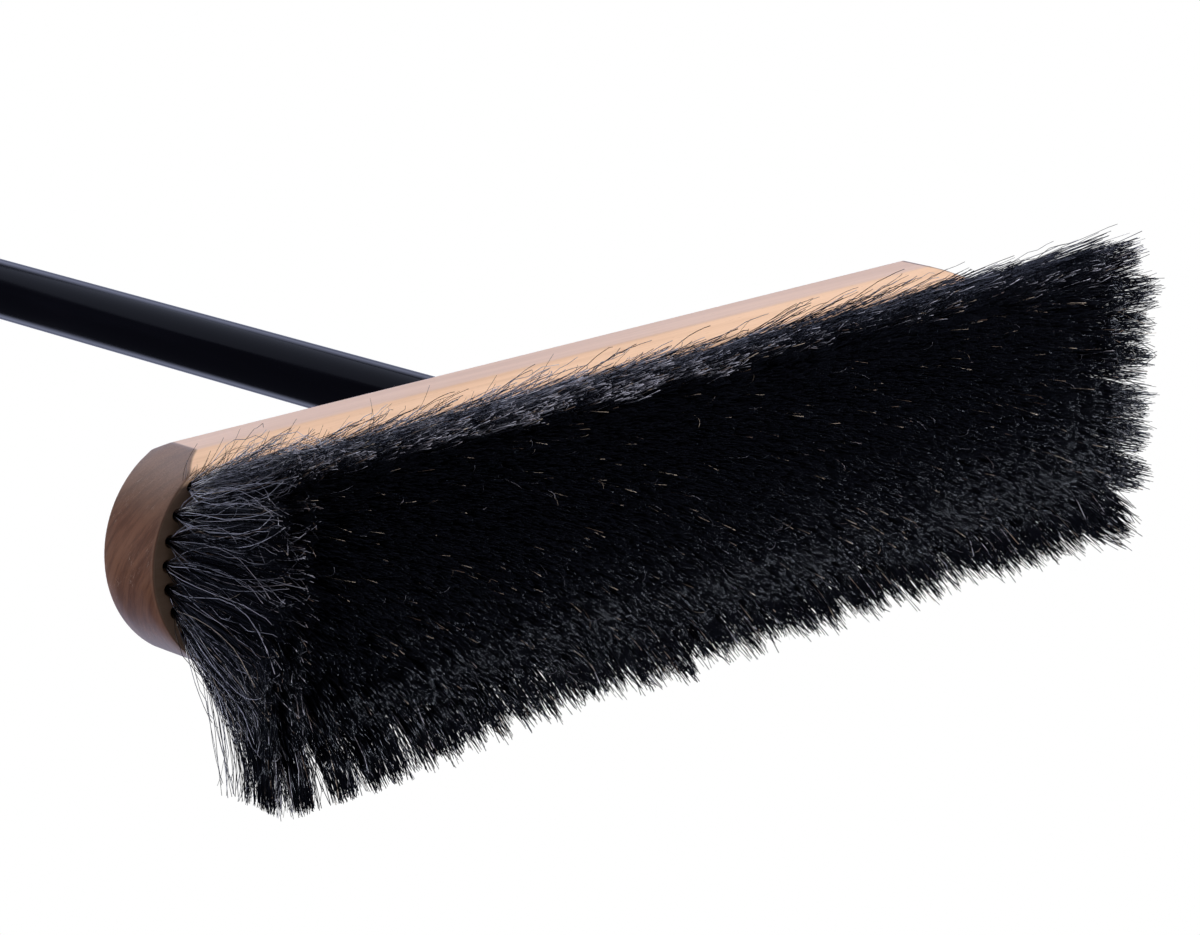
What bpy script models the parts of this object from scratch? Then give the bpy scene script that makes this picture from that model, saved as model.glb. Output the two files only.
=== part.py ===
"""A horsehair floor broom: a beech block with eight rows of tufts, and a steel handle.

The handle screws into the back of the block. Metres, +Z up. The broom stands on its
hair tips at z = 0, its length runs along X, and the handle rises along Z from the middle.
"""

import math

import bmesh
import bpy
from mathutils import Vector

# Clearance between touching pieces, how far a cutter runs past what it cuts,
# and the distance within which a spun shape's points are one
FIT_GAP = 0.0003
CUT_OVERRUN = 0.001
MERGE_DISTANCE = 0.00001

# Beech block: a moulded section with ends bowed to an arc
BLOCK_LENGTH = 0.3556
BLOCK_WIDTH = 0.068
BLOCK_THICKNESS = 0.0267
FRONT_FACET_RISE = 0.0098
FRONT_FACET_SET_IN = 0.0045
BACK_BEVEL_RISE = 0.0037
BACK_BEVEL_SET_IN = 0.0019
END_BOW = 0.0246

# Tufts: their holes in the block, and how they spread from the hole to the tip
ROW_COUNT = 8
SIDE_MARGIN = 0.0081
TUFT_PITCH = 0.0086
HOLE_DIAMETER = 0.004
ROOT_DEPTH = 0.004
END_MARGIN = 0.0055
TRIM = 0.064
TIP_SPREAD = 0.0168
TIP_SET_IN = 0.0008
TIP_BOW = 0.006
TUFT_TIP_LENGTH = 0.0068
TUFT_TIP_WIDTH = 0.0092

# Handle tube
TUBE_DIAMETER = 0.0222
TUBE_WALL = 0.0005
TUBE_LENGTH = 1.2

# Threaded tip, pressed into the lower end of the tube
THREAD_DIAMETER = 0.01905
THREAD_PITCH = 0.00508
THREAD_DEPTH = 0.0025
THREAD_LENGTH = 0.01905
THREAD_LEAD_IN = 0.0015
BORE_RUNOUT = 0.001
COLLAR_HEIGHT = 0.003
PLUG_LENGTH = 0.048
PLUG_GROOVE_HEIGHT = 0.006
PLUG_GROOVE_DEPTH = 0.0012
PLUG_CHAMFER = 0.0012

# End cap with its hanging hole
CAP_DIAMETER = 0.0238
CAP_RIM_HEIGHT = 0.005
CAP_HEIGHT = 0.044
CAP_TAB_THICKNESS = 0.0105
CAP_TAB_START = 0.011
CAP_HOLE_DIAMETER = 0.009
CAP_HOLE_RISE = 0.026
CAP_SPIGOT_LENGTH = 0.03
CAP_SPIGOT_CHAMFER = 0.001

# Facets of the round shapes
BLOCK_ARC_STEPS = 20
ROUND_SIDES = 40
THREAD_SIDES = 24
THREAD_RINGS_PER_TURN = 8
CAP_DOME_STEPS = 10
HOLE_SIDES = 24
SMOOTH_ANGLE = math.radians(35)

# Shares of a tuft's length at which it bends, and how far it has moved and spread by then
TUFT_LEVEL_SHARES = (0.5, 1.0)
TUFT_SHIFT_SHARES = (0.42, 1.0)
TUFT_SPREAD_SHARES = (0.58, 1.0)

# Shares of a thread's pitch that its crest and each flank take
THREAD_CREST_SHARE = 0.3
THREAD_FLANK_SHARE = 0.22

FACE_Z = TRIM
BACK_Z = TRIM + BLOCK_THICKNESS
LAST_ROW_Y = BLOCK_WIDTH / 2 - SIDE_MARGIN
COLLAR_Z = BACK_Z + FIT_GAP
TUBE_Z = COLLAR_Z + COLLAR_HEIGHT + FIT_GAP
CAP_Z = TUBE_Z + TUBE_LENGTH + FIT_GAP
TUBE_BORE_RADIUS = TUBE_DIAMETER / 2 - TUBE_WALL


def clear_scene():
    for obj in list(bpy.data.objects):
        bpy.data.objects.remove(obj)


def make_material(name, colour, roughness, metallic=0.0):
    material = bpy.data.materials.new(name)
    material.use_nodes = True
    shader = material.node_tree.nodes["Principled BSDF"]
    shader.inputs["Base Color"].default_value = (*colour, 1.0)
    shader.inputs["Roughness"].default_value = roughness
    shader.inputs["Metallic"].default_value = metallic
    material.diffuse_color = (*colour, 1.0)
    return material


def finish_object(name, bm, location, material=None, smooth=False):
    """Turn a bmesh into a named object at its place."""
    bmesh.ops.recalc_face_normals(bm, faces=bm.faces)
    mesh = bpy.data.meshes.new(name)
    bm.to_mesh(mesh)
    bm.free()
    if smooth:
        mesh.shade_smooth()
        mesh.set_sharp_from_angle(angle=SMOOTH_ANGLE)
    if material:
        mesh.materials.append(material)
    obj = bpy.data.objects.new(name, mesh)
    obj.location = location
    bpy.context.scene.collection.objects.link(obj)
    return obj


def apply_cutter(obj, cutter, operation):
    """Add a Boolean to the object and hide its cutter from the render."""
    cutter.hide_render = True
    cutter.display_type = "WIRE"
    boolean = obj.modifiers.new(cutter.name, "BOOLEAN")
    boolean.operation = operation
    boolean.object = cutter
    boolean.solver = "EXACT"


def add_prism(bm, outline, direction):
    """Extrude a closed outline of points along a direction into a solid."""
    face = bm.faces.new([bm.verts.new(point) for point in outline])
    extruded = bmesh.ops.extrude_face_region(bm, geom=[face])["geom"]
    top = [item for item in extruded if isinstance(item, bmesh.types.BMVert)]
    bmesh.ops.translate(bm, verts=top, vec=direction)


def add_box(bm, low, high):
    corners = [(low[0], low[1]), (high[0], low[1]), (high[0], high[1]), (low[0], high[1])]
    add_prism(bm, [(x, y, low[2]) for x, y in corners], Vector((0, 0, high[2] - low[2])))


def lathe(name, profile, sides, location, material):
    """Spin (radius, height) points about Z. A profile that starts and ends on the axis makes a solid."""
    bm = bmesh.new()
    closed = profile[0][0] > 0
    verts = [bm.verts.new((radius, 0, height)) for radius, height in profile]
    edges = [bm.edges.new(pair) for pair in zip(verts, verts[1:])]
    if closed:
        edges.append(bm.edges.new((verts[-1], verts[0])))
    bmesh.ops.spin(
        bm, geom=verts + edges, cent=(0, 0, 0), axis=(0, 0, 1), angle=math.tau, steps=sides, use_merge=True
    )
    bmesh.ops.remove_doubles(bm, verts=bm.verts, dist=MERGE_DISTANCE)
    return finish_object(name, bm, location, material, smooth=True)


def cylinder_cutter(name, diameter, depth, location, sides, along_y=False):
    """A capped cylinder from its location upwards, or centred on it along Y."""
    bm = bmesh.new()
    bmesh.ops.create_cone(
        bm, cap_ends=True, segments=sides, radius1=diameter / 2, radius2=diameter / 2, depth=depth
    )
    if not along_y:
        bmesh.ops.translate(bm, verts=bm.verts, vec=(0, 0, depth / 2))
    cutter = finish_object(name, bm, location)
    if along_y:
        cutter.rotation_euler.x = math.pi / 2
    return cutter


def end_arc_radius():
    """Radius of the block's end, from half its width and the depth of the bow."""
    half_width = BLOCK_WIDTH / 2
    return (half_width**2 + END_BOW**2) / (2 * END_BOW)


def end_arc_x(y):
    """Where the block's end arc lies at this distance from the middle line."""
    radius = end_arc_radius()
    return BLOCK_LENGTH / 2 - radius + math.sqrt(radius**2 - y**2)


def row_places():
    """(y, x of the last tuft, number of tufts) for each row."""
    places = []
    for index in range(ROW_COUNT):
        y = LAST_ROW_Y * (2 * index / (ROW_COUNT - 1) - 1)
        last_x = end_arc_x(y) - END_MARGIN
        count = round(2 * last_x / TUFT_PITCH) + 1
        places.append((y, last_x, count))
    return places


def block_section():
    """The moulded section in Y and Z, from the tuft face up to the back."""
    half = BLOCK_WIDTH / 2
    right = [
        (half - FRONT_FACET_SET_IN, 0),
        (half, FRONT_FACET_RISE),
        (half, BLOCK_THICKNESS - BACK_BEVEL_RISE),
        (half - BACK_BEVEL_SET_IN, BLOCK_THICKNESS),
    ]
    return right + [(-y, z) for y, z in reversed(right)]


def block_plan():
    """The outline in X and Y: two end arcs, run a little past the sides."""
    radius = end_arc_radius()
    reach = min(BLOCK_WIDTH / 2 + CUT_OVERRUN, radius)
    sweep = math.asin(reach / radius)
    centre = BLOCK_LENGTH / 2 - radius
    angles = [sweep * (2 * step / BLOCK_ARC_STEPS - 1) for step in range(BLOCK_ARC_STEPS + 1)]
    right = [(centre + radius * math.cos(a), radius * math.sin(a)) for a in angles]
    return right + [(-x, -y) for x, y in right]


def build_block(material):
    """The moulded stick, cut to the bowed ends, with a groove for each row and the threaded hole's bore."""
    moulding_end = BLOCK_LENGTH / 2 + CUT_OVERRUN
    bm = bmesh.new()
    add_prism(bm, [(-moulding_end, y, z) for y, z in block_section()], Vector((2 * moulding_end, 0, 0)))
    block = finish_object("head_block", bm, (0, 0, FACE_Z), material, smooth=True)

    bm = bmesh.new()
    height = BLOCK_THICKNESS + 2 * CUT_OVERRUN
    add_prism(bm, [(x, y, -CUT_OVERRUN) for x, y in block_plan()], Vector((0, 0, height)))
    apply_cutter(block, finish_object("plan_cutter", bm, (0, 0, FACE_Z)), "INTERSECT")

    bm = bmesh.new()
    half_groove = HOLE_DIAMETER / 2
    for y, last_x, _ in row_places():
        add_box(
            bm,
            (-last_x - half_groove, y - half_groove, -CUT_OVERRUN),
            (last_x + half_groove, y + half_groove, ROOT_DEPTH),
        )
    apply_cutter(block, finish_object("groove_cutter", bm, (0, 0, FACE_Z)), "DIFFERENCE")

    bore_depth = THREAD_LENGTH + BORE_RUNOUT
    bore = cylinder_cutter(
        "bore_cutter",
        THREAD_DIAMETER + 2 * FIT_GAP,
        bore_depth + CUT_OVERRUN,
        (0, 0, BACK_Z - bore_depth),
        ROUND_SIDES,
    )
    apply_cutter(block, bore, "DIFFERENCE")
    return block


def tip_place(x, y, last_x):
    """Where the tip of the tuft at (x, y) ends up: rows spread in Y, and along X to a shallow bow."""
    bow = TIP_BOW * (y / LAST_ROW_Y) ** 2
    tip_last_x = BLOCK_LENGTH / 2 - TIP_SET_IN - TUFT_TIP_LENGTH / 2 - bow
    return x * tip_last_x / last_x, y * (LAST_ROW_Y + TIP_SPREAD) / LAST_ROW_Y


def grow_tuft(bm, face, x, y, last_x):
    """Extrude the tuft's root downwards level by level, moving and widening each ring."""
    root_half = HOLE_DIAMETER / 2 - FIT_GAP
    tip_x, tip_y = tip_place(x, y, last_x)
    for level, shift, spread in zip(TUFT_LEVEL_SHARES, TUFT_SHIFT_SHARES, TUFT_SPREAD_SHARES):
        face = bmesh.ops.extrude_discrete_faces(bm, faces=[face])["faces"][0]
        half_x = root_half + (TUFT_TIP_LENGTH / 2 - root_half) * spread
        half_y = root_half + (TUFT_TIP_WIDTH / 2 - root_half) * spread
        centre_x = x + (tip_x - x) * shift
        centre_y = y + (tip_y - y) * shift
        middle = face.calc_center_median()
        for vert in face.verts:
            side_x = math.copysign(half_x, vert.co.x - middle.x)
            side_y = math.copysign(half_y, vert.co.y - middle.y)
            vert.co = (centre_x + side_x, centre_y + side_y, -TRIM * level)


def build_tuft_row(index, y, last_x, count, material):
    """One row of tufts, each grown out of the slice that fills the row's groove."""
    half = HOLE_DIAMETER / 2 - FIT_GAP
    top = ROOT_DEPTH - FIT_GAP
    centres = [last_x * (2 * step / (count - 1) - 1) for step in range(count)]
    bounds = [x + side * half for x in centres for side in (-1, 1)]
    bm = bmesh.new()
    near = [bm.verts.new((x, y - half, 0)) for x in bounds]
    far = [bm.verts.new((x, y + half, 0)) for x in bounds]
    cells = [bm.faces.new((near[i], far[i], far[i + 1], near[i + 1])) for i in range(len(bounds) - 1)]
    low_x, high_x = bounds[0], bounds[-1]
    corners = [(low_x, y - half), (high_x, y - half), (high_x, y + half), (low_x, y + half)]
    upper = [bm.verts.new((corner_x, corner_y, top)) for corner_x, corner_y in corners]
    bm.faces.new(upper)
    bm.faces.new([*near, upper[1], upper[0]])
    bm.faces.new([*far, upper[2], upper[3]])
    bm.faces.new((near[0], far[0], upper[3], upper[0]))
    bm.faces.new((near[-1], far[-1], upper[2], upper[1]))
    for x, cell in zip(centres, cells[::2]):
        grow_tuft(bm, cell, x, y, last_x)
    return finish_object(f"tuft_row_{index + 1}", bm, (0, 0, FACE_Z), material)


def thread_radius(turn, height):
    """Radius of the thread at a turn (0 to 1 round the axis) and a height above its lower end.

    The tooth is a trapezoid over one pitch, faded in at both ends.
    """
    off_crest = abs((height / THREAD_PITCH - turn) % 1 - 0.5)
    tooth = (THREAD_CREST_SHARE / 2 + THREAD_FLANK_SHARE - off_crest) / THREAD_FLANK_SHARE
    fade = min(height, THREAD_LENGTH - height) / THREAD_LEAD_IN
    return THREAD_DIAMETER / 2 - THREAD_DEPTH * (1 - min(max(tooth, 0), 1) * min(max(fade, 0), 1))


def build_threaded_tip(material):
    """Thread, collar and plug as one surface of rings round Z."""
    collar_radius = TUBE_DIAMETER / 2
    plug_radius = TUBE_BORE_RADIUS - FIT_GAP
    groove_radius = plug_radius - PLUG_GROOVE_DEPTH
    neck_radius = THREAD_DIAMETER / 2 - THREAD_DEPTH
    collar_top = FIT_GAP + COLLAR_HEIGHT
    plug_top = collar_top + PLUG_LENGTH
    groove_low = collar_top + (PLUG_LENGTH - PLUG_GROOVE_HEIGHT) / 2
    groove_high = groove_low + PLUG_GROOVE_HEIGHT
    rings = round(THREAD_LENGTH / THREAD_PITCH * THREAD_RINGS_PER_TURN)
    heights = [THREAD_LENGTH * step / rings for step in range(rings + 1)]
    turns = [side / THREAD_SIDES for side in range(THREAD_SIDES)]
    table = [[(thread_radius(turn, height), height - THREAD_LENGTH) for turn in turns] for height in heights]
    plain = [
        (neck_radius, FIT_GAP),
        (collar_radius, FIT_GAP),
        (collar_radius, collar_top),
        (plug_radius, collar_top),
        (plug_radius, groove_low),
        (groove_radius, groove_low),
        (groove_radius, groove_high),
        (plug_radius, groove_high),
        (plug_radius, plug_top - PLUG_CHAMFER),
        (plug_radius - PLUG_CHAMFER, plug_top),
    ]
    table += [[point] * THREAD_SIDES for point in plain]
    bm = bmesh.new()
    loops = []
    for ring in table:
        loop = []
        for turn, (radius, height) in zip(turns, ring):
            angle = math.tau * turn
            loop.append(bm.verts.new((radius * math.cos(angle), radius * math.sin(angle), height)))
        loops.append(loop)
    for lower, above in zip(loops, loops[1:]):
        for side in range(THREAD_SIDES):
            after = (side + 1) % THREAD_SIDES
            bm.faces.new((lower[side], lower[after], above[after], above[side]))
    bm.faces.new(loops[0][::-1])
    bm.faces.new(loops[-1])
    return finish_object("threaded_tip", bm, (0, 0, BACK_Z), material, smooth=True)


def build_handle_tube(material):
    outer = TUBE_DIAMETER / 2
    profile = [(outer, 0), (outer, TUBE_LENGTH), (TUBE_BORE_RADIUS, TUBE_LENGTH), (TUBE_BORE_RADIUS, 0)]
    return lathe("handle_tube", profile, ROUND_SIDES, (0, 0, TUBE_Z), material)


def cap_profile():
    """Spigot, rim and a dome that closes as a quarter of an ellipse."""
    spigot = TUBE_BORE_RADIUS - FIT_GAP
    outer = CAP_DIAMETER / 2
    points = [
        (0, -CAP_SPIGOT_LENGTH),
        (spigot - CAP_SPIGOT_CHAMFER, -CAP_SPIGOT_LENGTH),
        (spigot, CAP_SPIGOT_CHAMFER - CAP_SPIGOT_LENGTH),
        (spigot, 0),
        (outer, 0),
    ]
    dome = CAP_HEIGHT - CAP_RIM_HEIGHT
    for step in range(CAP_DOME_STEPS):
        angle = math.pi / 2 * step / CAP_DOME_STEPS
        points.append((outer * math.cos(angle), CAP_RIM_HEIGHT + dome * math.sin(angle)))
    return points + [(0, CAP_HEIGHT)]


def build_end_cap(material):
    """A domed cap, flattened to a tab above its rim and drilled to hang by."""
    cap = lathe("end_cap", cap_profile(), ROUND_SIDES, (0, 0, CAP_Z), material)
    bm = bmesh.new()
    outer = CAP_DIAMETER / 2 + CUT_OVERRUN
    for side in (-1, 1):
        inner_y = side * CAP_TAB_THICKNESS / 2
        outer_y = side * outer
        add_box(
            bm,
            (-outer, min(inner_y, outer_y), CAP_TAB_START),
            (outer, max(inner_y, outer_y), CAP_HEIGHT + CUT_OVERRUN),
        )
    apply_cutter(cap, finish_object("tab_cutter", bm, (0, 0, CAP_Z)), "DIFFERENCE")
    hole = cylinder_cutter(
        "hanging_hole_cutter",
        CAP_HOLE_DIAMETER,
        CAP_TAB_THICKNESS + 2 * CUT_OVERRUN,
        (0, 0, CAP_Z + CAP_HOLE_RISE),
        HOLE_SIDES,
        along_y=True,
    )
    apply_cutter(cap, hole, "DIFFERENCE")
    return cap


def main():
    clear_scene()
    beech = make_material("beech", (0.62, 0.45, 0.31), 0.42)
    horsehair = make_material("horsehair", (0.018, 0.018, 0.022), 0.5)
    coated_steel = make_material("black_coated_steel", (0.012, 0.012, 0.014), 0.16, 0.0)
    black_plastic = make_material("black_plastic", (0.02, 0.02, 0.022), 0.38)

    build_block(beech)
    for index, (y, last_x, count) in enumerate(row_places()):
        build_tuft_row(index, y, last_x, count, horsehair)

    screw_axis = bpy.data.objects.new("handle_screw_axis", None)
    screw_axis.location = (0, 0, BACK_Z)
    bpy.context.scene.collection.objects.link(screw_axis)
    bpy.context.view_layer.update()
    tip = build_threaded_tip(black_plastic)
    tube = build_handle_tube(coated_steel)
    cap = build_end_cap(black_plastic)
    for piece in (tip, tube, cap):
        piece.parent = screw_axis
        piece.matrix_parent_inverse = screw_axis.matrix_world.inverted()


main()
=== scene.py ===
"""Looks of a horsehair floor broom: beech block, black hair tufts, gloss black handle.

Laid out as an add-on and run as a script. Each operator makes one piece or group of like
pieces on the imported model, and main() calls them in order.
"""

import math
from typing import NamedTuple

import bmesh
import bpy
import numpy as np
from bpy.props import FloatProperty, FloatVectorProperty, IntProperty, PointerProperty
from mathutils import Matrix, Vector


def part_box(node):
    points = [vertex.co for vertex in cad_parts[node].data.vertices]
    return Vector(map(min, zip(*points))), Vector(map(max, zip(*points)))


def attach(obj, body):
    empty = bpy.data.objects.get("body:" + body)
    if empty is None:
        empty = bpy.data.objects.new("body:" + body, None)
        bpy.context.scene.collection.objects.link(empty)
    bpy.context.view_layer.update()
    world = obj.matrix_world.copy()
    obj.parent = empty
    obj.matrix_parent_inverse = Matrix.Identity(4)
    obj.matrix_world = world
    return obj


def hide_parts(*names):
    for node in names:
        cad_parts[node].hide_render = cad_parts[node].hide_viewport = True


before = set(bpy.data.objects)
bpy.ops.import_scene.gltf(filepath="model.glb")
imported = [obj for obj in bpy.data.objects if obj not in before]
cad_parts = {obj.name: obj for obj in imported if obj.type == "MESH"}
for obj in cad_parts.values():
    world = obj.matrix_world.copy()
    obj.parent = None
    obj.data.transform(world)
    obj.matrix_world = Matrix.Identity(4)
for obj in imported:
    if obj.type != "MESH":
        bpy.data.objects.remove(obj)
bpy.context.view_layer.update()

bl_info = {
    "name": "Horsehair Broom",
    "version": (1, 0, 0),
    "blender": (4, 5, 0),
    "location": "3D View > Sidebar > Broom",
    "description": "Dresses a packed floor broom with its wood, hair and handle finishes",
    "category": "Object",
}

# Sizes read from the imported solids
BLOCK_LOW, BLOCK_HIGH = (np.array(corner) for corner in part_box("head_block"))
TUBE_LOW, TUBE_HIGH = (np.array(corner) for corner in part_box("handle_tube"))
TIP_LOW, TIP_HIGH = (np.array(corner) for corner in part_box("threaded_tip"))
CAP_LOW, CAP_HIGH = (np.array(corner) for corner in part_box("end_cap"))
HALF_LENGTH, HALF_WIDTH = BLOCK_HIGH[0], BLOCK_HIGH[1]
FACE_Z, BACK_Z = BLOCK_LOW[2], BLOCK_HIGH[2]

# Sizes of the block's moulding and of the rows, as in the part
FRONT_FACET = (0.0045, 0.0098)
BACK_BEVEL = (0.0019, 0.0037)
END_BOW = 0.0246
ARC_RADIUS = (HALF_WIDTH**2 + END_BOW**2) / (2 * END_BOW)
ARC_CENTRE = HALF_LENGTH - ARC_RADIUS
ROWS = 8
LAST_ROW_Y = HALF_WIDTH - 0.0081
TUFT_PITCH = 0.0086
END_MARGIN = 0.0055
TIP_SPREAD = 0.0168
TIP_LAST_X = HALF_LENGTH - 0.0042
TIP_BOW = 0.006
BORE_DIAMETER = 0.01965
BORE_DEPTH = 0.02005
HOLE_SIDES = 20

# Sizes of the threaded tip and the end cap, as in the part
FIT_GAP = 0.0003
THREAD_RADIUS = 0.009525
THREAD_PITCH = 0.00508
THREAD_DEPTH = 0.0025
THREAD_LENGTH = 0.01905
THREAD_LEAD_IN = 0.0015
COLLAR_HEIGHT = 0.003
COLLAR_CHAMFER = 0.0005
PLUG_GROOVE = (0.021, 0.027)
PLUG_CHAMFER = 0.0012
CAP_RIM_HEIGHT = 0.005
CAP_HALF_TAB = 0.00525
CAP_TAB_START = 0.0098
CAP_SHOULDER = 0.0024
CAP_SPIGOT_CHAMFER = 0.001
CAP_HOLE_RADIUS = 0.0045
CAP_HOLE_RISE = 0.026

MAP_NAME = "OFBake"
WELD = 0.000002
MM = 1000


# Meshes from arrays


def mesh_object(name, points, faces, smooth=True, weld=0.0):
    """An object from an (n, 3) array of points and an (m, k) array of corner numbers."""
    mesh = bpy.data.meshes.new(name)
    mesh.vertices.add(len(points))
    mesh.vertices.foreach_set("co", np.ascontiguousarray(points, np.float32).ravel())
    mesh.loops.add(faces.size)
    mesh.loops.foreach_set("vertex_index", np.ascontiguousarray(faces, np.int32).ravel())
    mesh.polygons.add(len(faces))
    mesh.polygons.foreach_set("loop_start", np.arange(0, faces.size, faces.shape[1], dtype=np.int32))
    mesh.update(calc_edges=True)
    if weld:
        shape = bmesh.new()
        shape.from_mesh(mesh)
        bmesh.ops.remove_doubles(shape, verts=shape.verts, dist=weld)
        bmesh.ops.recalc_face_normals(shape, faces=shape.faces)
        shape.to_mesh(mesh)
        shape.free()
    if smooth:
        mesh.shade_smooth()
    obj = bpy.data.objects.new(name, mesh)
    bpy.context.scene.collection.objects.link(obj)
    return obj


def grid_faces(rows, columns, wrap=False, first=0):
    """Quads of a grid of points numbered row by row. wrap joins the last column to the first."""
    numbers = first + np.arange(rows * columns).reshape(rows, columns)
    if wrap:
        numbers = np.concatenate([numbers, numbers[:, :1]], axis=1)
    corners = [numbers[:-1, :-1], numbers[:-1, 1:], numbers[1:, 1:], numbers[1:, :-1]]
    return np.stack(corners, axis=-1).reshape(-1, 4)


def ring_points(sides):
    """Points of the unit circle: (cos, sin) of even angles."""
    angle = np.linspace(0, math.tau, sides, endpoint=False)
    return np.stack([np.cos(angle), np.sin(angle)], axis=-1)


def turned(name, profile, sides):
    """(radius, height) points carried round Z: (radius cos, radius sin, height).

    Ends on the axis, or a first point equal to the last, close the shape.
    """
    radius, height = np.asarray(profile).T
    flat = radius[:, None, None] * ring_points(sides)
    rise = np.broadcast_to(height[:, None, None], (len(radius), sides, 1))
    points = np.concatenate([flat, rise], axis=-1)
    faces = grid_faces(len(radius), sides, wrap=True)
    return mesh_object(name, points.reshape(-1, 3), faces, weld=WELD)


def round_edges(obj, width, segments, angle):
    """Bevel the edges that turn by more than the angle, in degrees."""
    bevel = obj.modifiers.new("edge_round", "BEVEL")
    bevel.width = width
    bevel.segments = segments
    bevel.limit_method = "ANGLE"
    bevel.angle_limit = math.radians(angle)


def settle(obj):
    """Apply the object's modifiers, and remove the pieces that only cut it."""
    graph = bpy.context.evaluated_depsgraph_get()
    mesh = bpy.data.meshes.new_from_object(obj.evaluated_get(graph))
    cutters = {modifier.object for modifier in obj.modifiers if modifier.type == "BOOLEAN"}
    obj.modifiers.clear()
    old, obj.data = obj.data, mesh
    mesh.name = obj.name
    bpy.data.meshes.remove(old)
    for cutter in cutters:
        bpy.data.meshes.remove(cutter.data)


def cut(obj, cutter):
    """Take the cutter's shape out of the object."""
    boolean = obj.modifiers.new("cut", "BOOLEAN")
    boolean.object = cutter
    boolean.operation = "DIFFERENCE"
    boolean.solver = "MANIFOLD"


def dress(obj, body, slot, finish, *nodes):
    """Give a piece its finish and its body, and hide the nodes that it stands for."""
    obj.data.materials.clear()
    obj.data.materials.append(finish.material)
    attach(obj, body)
    if nodes:
        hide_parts(*nodes)


# Shader trees


def maths(operation, swapped=False):
    """A method that joins its own value and another by a Math node, or the other way round."""

    def method(self, other=0.0):
        first, second = (other, self) if swapped else (self, other)
        return self.finish.node("ShaderNodeMath", {"operation": operation}, {0: first, 1: second})

    return method


class Amount:
    """A value on a shader node's output. Arithmetic on it adds Math nodes to its tree."""

    def __init__(self, finish, output):
        self.finish = finish
        self.output = output

    __add__ = __radd__ = maths("ADD")
    __sub__ = maths("SUBTRACT")
    __rsub__ = maths("SUBTRACT", swapped=True)
    __mul__ = __rmul__ = maths("MULTIPLY")
    __pow__ = maths("POWER")
    __abs__ = maths("ABSOLUTE")
    most = maths("MAXIMUM")


class Finish:
    """A shader tree, of a material or of the world, and one method that adds any node to it."""

    def __init__(self, name=None, world=None):
        if world:
            self.tree = world.node_tree
        else:
            self.material = bpy.data.materials.new(name)
            self.material.use_nodes = True
            self.tree = self.material.node_tree
            self.shader = self.tree.nodes["Principled BSDF"]

    def feed(self, socket, value):
        """Link a value to a socket, or set the socket to a plain number or colour."""
        if isinstance(value, Amount):
            self.tree.links.new(value.output, socket)
        else:
            socket.default_value = value

    def node(self, kind, settings=None, inputs=None, output=0):
        """Add a node: its settings first, then its sockets' values or links. Gives back one output."""
        node = self.tree.nodes.new(kind)
        for key, value in (settings or {}).items():
            if key == "stops":
                ramp = node.color_ramp
                while len(ramp.elements) < len(value):
                    ramp.elements.new(1.0)
                for element, (place, colour) in zip(ramp.elements, value):
                    element.position = place
                    element.color = (*colour, 1.0)
            else:
                setattr(node, key, value)
        for key, value in (inputs or {}).items():
            self.feed(node.inputs[key], value)
        return Amount(self, node.outputs[output])

    def surface(self, **inputs):
        """Set or link sockets of the main shader, named with underscores for spaces."""
        for key, value in inputs.items():
            self.feed(self.shader.inputs[key.replace("_", " ")], value)

    def place(self, scale):
        """Object coordinates times a scale for each axis."""
        where = self.node("ShaderNodeTexCoord", output="Object")
        return self.node("ShaderNodeVectorMath", {"operation": "MULTIPLY"}, {0: where, 1: scale})

    def axes(self, vector):
        """The three parts of a vector."""
        split = self.node("ShaderNodeSeparateXYZ", inputs={0: vector})
        return [Amount(self, output) for output in split.output.node.outputs]

    def vector(self, x, y, z):
        """A vector of three parts."""
        return self.node("ShaderNodeCombineXYZ", inputs={0: x, 1: y, 2: z})

    def noise(self, vector, detail, roughness=0.5):
        """Noise of about one cell for each unit of the vector."""
        return self.node(
            "ShaderNodeTexNoise",
            {"noise_dimensions": "3D"},
            {"Vector": vector, "Scale": 1.0, "Detail": detail, "Roughness": roughness},
        )

    def between(self, value, low, high, to_low=0.0, to_high=1.0):
        """A smooth step of a value from low to high."""
        return self.node(
            "ShaderNodeMapRange",
            {"interpolation_type": "SMOOTHSTEP"},
            {"Value": value, "From Min": low, "From Max": high, "To Min": to_low, "To Max": to_high},
        )

    def blend(self, factor, first, second):
        """Mix two colours, each a value of three numbers or a link."""
        colours = [value if isinstance(value, Amount) else (*value, 1.0) for value in (first, second)]
        return self.node(
            "ShaderNodeMix",
            {"data_type": "RGBA", "blend_type": "MIX"},
            {0: factor, 6: colours[0], 7: colours[1]},
            output=2,
        )

    def bump(self, height, distance, strength):
        """Normals of a relief whose height is a value times the distance."""
        sockets = {"Height": height, "Distance": distance, "Strength": strength}
        return self.node("ShaderNodeBump", inputs=sockets)


# Settings that a user would change


def colour_property(name, description, default):
    """A colour, shown as a swatch."""
    return FloatVectorProperty(
        name=name, description=description, default=default, subtype="COLOR", size=3
    )


def length_property(name, description, default, precision=5):
    """A length, shown in the scene's unit."""
    return FloatProperty(
        name=name, description=description, default=default, unit="LENGTH", precision=precision
    )


def count_property(name, description, default, least=0):
    """A whole number with a least value."""
    return IntProperty(name=name, description=description, default=default, min=least)


def level_property(name, description, default):
    """A brightness or a lamp's power, from 0 up."""
    return FloatProperty(name=name, description=description, default=default, min=0)


# Block


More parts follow.
